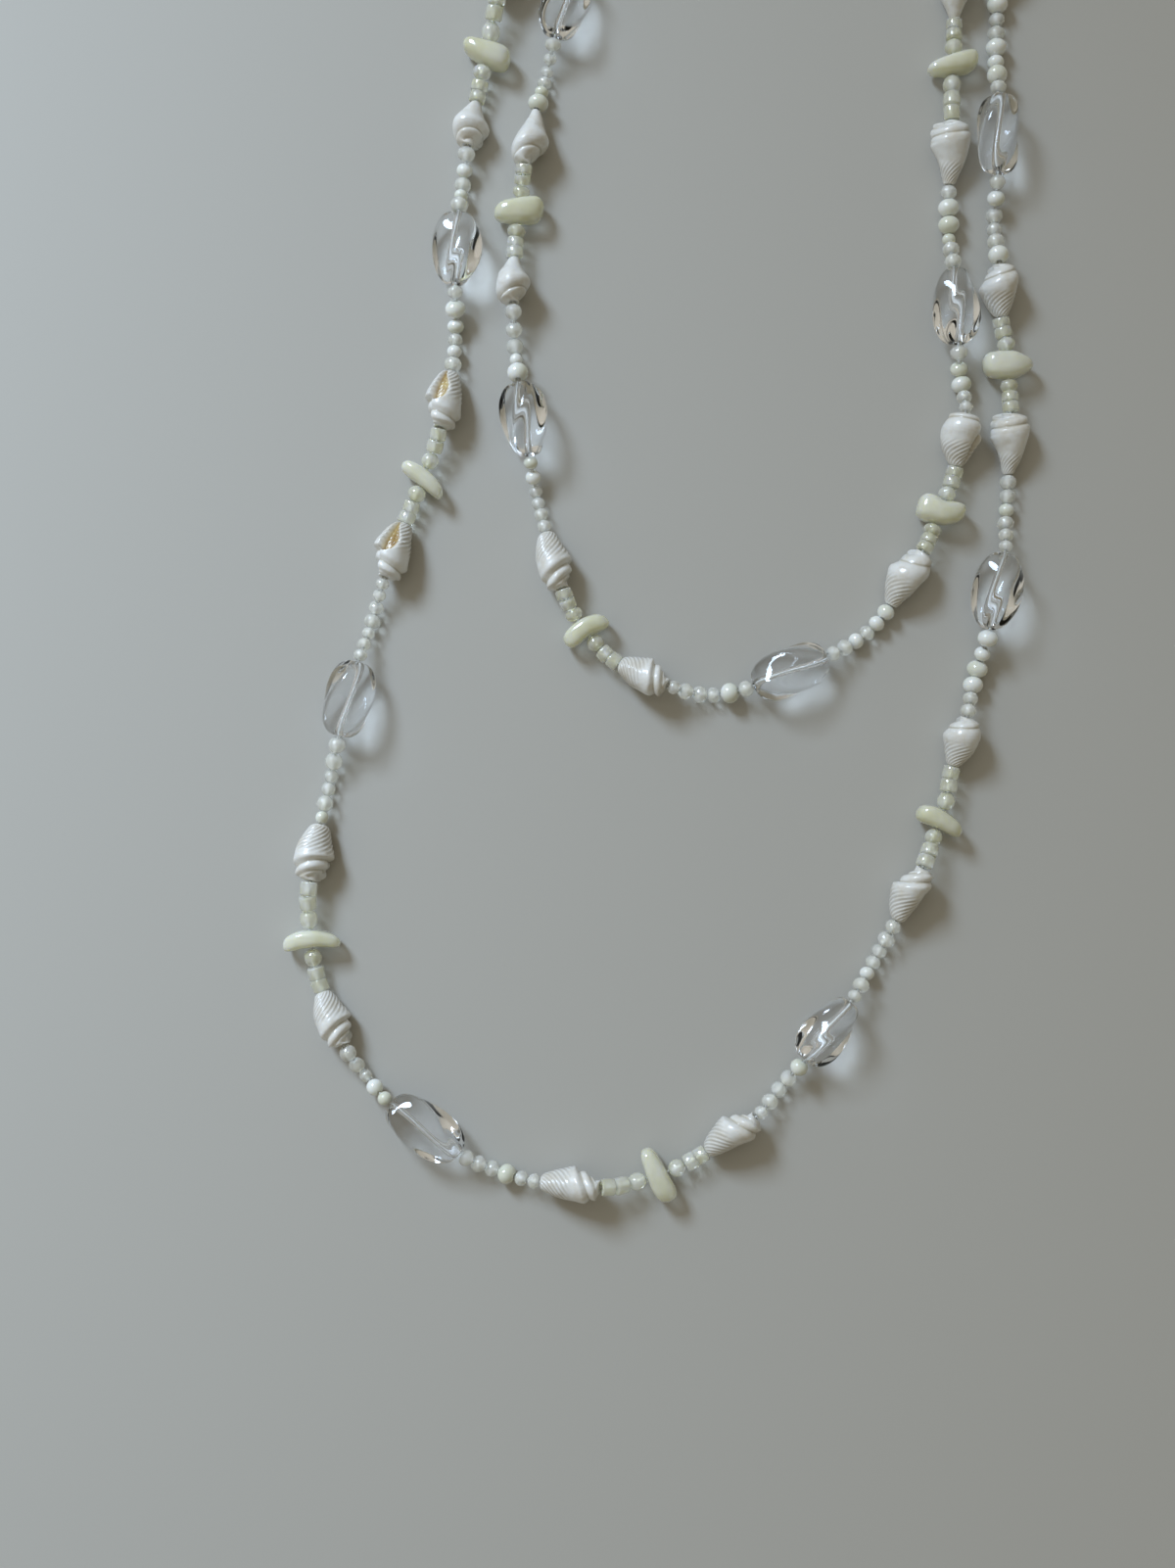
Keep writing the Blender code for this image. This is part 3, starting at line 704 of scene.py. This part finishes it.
# Lustred glass pearls: milk white to pale green, a bright hard skin
pearlSeed, shader = newMaterial("lustred opal glass", "#DEDFD2", 0.14, ior=1.54, Coat_Weight=0.9,
                                Coat_Roughness=0.04, Subsurface_Weight=0.5, Subsurface_Scale=1.0,
                                Subsurface_Radius=(1.2 * mm, 1.1 * mm, 0.9 * mm))
lots = noiseOn(pearlSeed, 190.0, 0.0)
feed(pearlSeed, rampOn(pearlSeed, lots, (0.35, "#DADBC9"), (0.62, "#EDEEE8")), shader, "Base Color")
letLightThrough(pearlSeed, shader, 0.4)

# Milky glass seeds, like moonstone: light goes through them, with soft clouds inside
milkySeed, shader = newMaterial("milky seed glass", "#F2F1EA", 0.06, ior=1.50, Transmission_Weight=0.56,
                                Coat_Weight=1.0, Coat_Roughness=0.03, Subsurface_Weight=0.8,
                                Subsurface_Radius=(1.4 * mm, 1.4 * mm, 1.3 * mm), Subsurface_Scale=1.0)
milk = noiseOn(milkySeed, 420.0, 2.0)
feed(milkySeed, rampOn(milkySeed, milk, (0.35, "#F2F0E4"), (0.65, "#FCFAF1")), shader, "Base Color")
letLightThrough(milkySeed, shader, 0.95)

# Pressed glass of the round and short cylinder beads: cloudy pale cream green
middleGlass, shader = newMaterial("cloudy pressed glass", "#ECEBDC", 0.07, ior=1.52, Coat_Weight=1.0,
                                  Coat_Roughness=0.03, Subsurface_Weight=0.8, Transmission_Weight=0.55,
                                  Subsurface_Radius=(1.8 * mm, 1.8 * mm, 1.4 * mm), Subsurface_Scale=1.0)
haze = noiseOn(middleGlass, 300.0, 2.0)
feed(middleGlass, rampOn(middleGlass, haze, (0.36, "#E6E3C9"), (0.64, "#FAF9EE")), shader, "Base Color")
letLightThrough(middleGlass, shader, 0.95)

# Nylon beading thread, drawn and twisted: white, a little see-through
nylon, shader = newMaterial("nylon beading thread", "#EFEEE9", 0.3, ior=1.53, Transmission_Weight=0.3)
bumpOn(nylon, shader, noiseOn(nylon, 4000.0, 1.0), 0.3, 0.05 * mm)


def roundProfile(angles, length, diameter):
    # a round bead from one end of its bore to the other, by the angle from its axis
    turned = [math.radians(angle) for angle in angles]
    return [(-math.cos(a) * length / 2, math.sin(a) * diameter / 2) for a in turned]


seedProfile = roundProfile(smallBeads["seedAngles"], smallBeads["seedUnit"], smallBeads["seedUnit"])
seedMaster = turnedBead("seedMaster", smallBeads["seedSides"], seedProfile, smallBeads["seedBore"])
middleProfile = roundProfile(smallBeads["roundAngles"], smallBeads["roundLength"],
                             smallBeads["roundDiameter"])
roundMaster = turnedBead("roundMaster", smallBeads["middleSides"], middleProfile, smallBeads["bore"])
ponyProfile = [(z * smallBeads["ponyLength"], r * smallBeads["ponyDiameter"] / 2)
               for z, r in smallBeads["ponyRim"]]
ponyMaster = turnedBead("ponyMaster", smallBeads["middleSides"], ponyProfile, smallBeads["bore"])


def placeSmall(master, name, here, onward, size, tableTop):
    # a copy of a small bead on the thread, never below the table
    piece = copyOf(master, name)
    heading = (onward - here).normalized()
    spin = Matrix.Rotation(dice.uniform(0, 2 * math.pi), 4, "Z")
    tip = Euler((dice.uniform(*smallBeads["tip"]), dice.uniform(*smallBeads["tip"]), 0.0))
    turnTo = heading.to_track_quat("Z", "Y").to_matrix().to_4x4()
    piece.data.transform(turnTo @ tip.to_matrix().to_4x4() @ spin @ Matrix.Diagonal((*size, 1.0)))
    place = here.copy()
    if tableTop is not None:
        under = min(vertex.co.z for vertex in piece.data.vertices)
        place.z = max(place.z, tableTop - under)
    piece.data.transform(Matrix.Translation(place))
    return piece


def seedSizes(item):
    # seeds of mixed sizes that fill their run
    choice = smallBeads["seedDiameters"]
    if item["ends"][0].y > smallBeads["hiddenFrom"]:
        choice = smallBeads["hiddenDiameters"]
    sizes = []
    while sum(sizes) * mm < item["length"] - smallBeads["runRest"]:
        sizes.append(dice.choice(choice))
    return sizes


def placeSeeds(item, before, after, pearls, milky, threadPoints):
    # a run of seeds between two beads; one run goes over the string that it crosses
    lowest, tableTop = laying["seed"] / 2, 0.0
    if item["kind"] == "run_b" and item["repeat"] == laying["bridgeRepeat"]:
        lowest, tableTop = lowest + laying["seed"] + laying["bridgeClearance"], None
    sizes = seedSizes(item)
    spread = item["length"] / (sum(sizes) * mm)
    close = min(spread, smallBeads["loosest"]) * smallBeads["seedClose"]
    for k, diameter in enumerate(sizes):
        t = (sum(sizes[:k]) + diameter / 2) / sum(sizes)
        here = linkPoint(before, after, t, lowest)
        onward = linkPoint(before, after, t + smallBeads["ahead"], lowest)
        pearl = diameter > smallBeads["pearlFrom"] or dice.random() < smallBeads["pearlShare"]
        wide = smallBeads["seedStout"] * diameter
        across = [wide * dice.uniform(*smallBeads["seedSpread"]) for _ in range(2)]
        size = (*across, diameter * close)
        bead = placeSmall(seedMaster, "seed", here, onward, size, tableTop)
        (pearls if pearl else milky).append(bead)
        threadPoints.append(here)


def placeMiddles(item, before, after, middles, threadPoints):
    # two short cylinders and a round bead, the round one next to the stone chip
    ponyShare = (1 - smallBeads["roundShare"]) / 2
    span = (after["entry"] - before["exit"]).length
    for master, middle, share, reach in (
            (ponyMaster, 0.5 * ponyShare, ponyShare, smallBeads["ponyLength"]),
            (ponyMaster, 1.5 * ponyShare, ponyShare, smallBeads["ponyLength"]),
            (roundMaster, 1 - 0.5 * smallBeads["roundShare"], smallBeads["roundShare"],
             smallBeads["roundLength"])):
        t = middle if item["kind"] == "middle_a" else 1 - middle
        here = linkPoint(before, after, t)
        onward = linkPoint(before, after, min(t + smallBeads["ahead"], 1.0))
        wide = dice.uniform(*smallBeads["middleSpread"])
        middles.append(placeSmall(master, "middle", here, onward, (wide, wide, share * span / reach), 0.0))
    threadPoints += [linkPoint(before, after, t) for t in smallBeads["threadStops"]]


def drawThread(name, points):
    # a round thread through the points, as a mesh
    curve = bpy.data.curves.new(name, "CURVE")
    curve.dimensions = "3D"
    curve.bevel_depth = smallBeads["thread"] / 2
    curve.bevel_resolution = 2
    curve.use_fill_caps = True
    spline = curve.splines.new("POLY")
    spline.points.add(len(points) - 1)
    for target, point in zip(spline.points, points):
        target.co = (*point, 1.0)
    drawn = bpy.data.objects.new(name, curve)
    bpy.context.scene.collection.objects.link(drawn)
    onlyThis(drawn)
    bpy.ops.object.convert(target="MESH")
    thread = bpy.context.object
    thread.name = name
    return thread


mainCount = len(items)
glassPlaces = [index for index, item in enumerate(items) if item["form"] == "glass"]
firstGlass, secondGlass = glassPlaces[-1], glassPlaces[laying["bridgeRepeat"] + 1]
halves = {"Outer": (firstGlass, secondGlass + mainCount, "bead_string_outer"),
          "Inner": (secondGlass, firstGlass, "bead_string_inner")}

for half, (start, stop, node) in halves.items():
    pearls, milky, middles = [], [], []
    threadPoints = [(items[start]["entry"] + items[start]["exit"]) / 2]
    for index in range(start + 1, stop):
        item = items[index % mainCount]
        before, after = items[(index - 1) % mainCount], items[(index + 1) % mainCount]
        if "node" in item:
            threadPoints += [item["entry"], item["exit"]]
        elif item["form"] == "run":
            placeSeeds(item, before, after, pearls, milky, threadPoints)
        else:
            placeMiddles(item, before, after, middles, threadPoints)
    tail = items[stop % mainCount]
    threadPoints.append((tail["entry"] + tail["exit"]) / 2)
    thread = drawThread("thread" + half, threadPoints)
    finishPiece(joined("pearlSeeds" + half, pearls), pearlSeed, node)
    finishPiece(joined("milkySeeds" + half, milky), milkySeed, node)
    finishPiece(joined("middleBeads" + half, middles), middleGlass, node)
    finishPiece(thread, nylon, node)
print("small beads and thread made")

for master in (glassMaster, *shellMasters.values(), seedMaster, roundMaster, ponyMaster):
    bpy.data.objects.remove(master)

print("necklace finished")
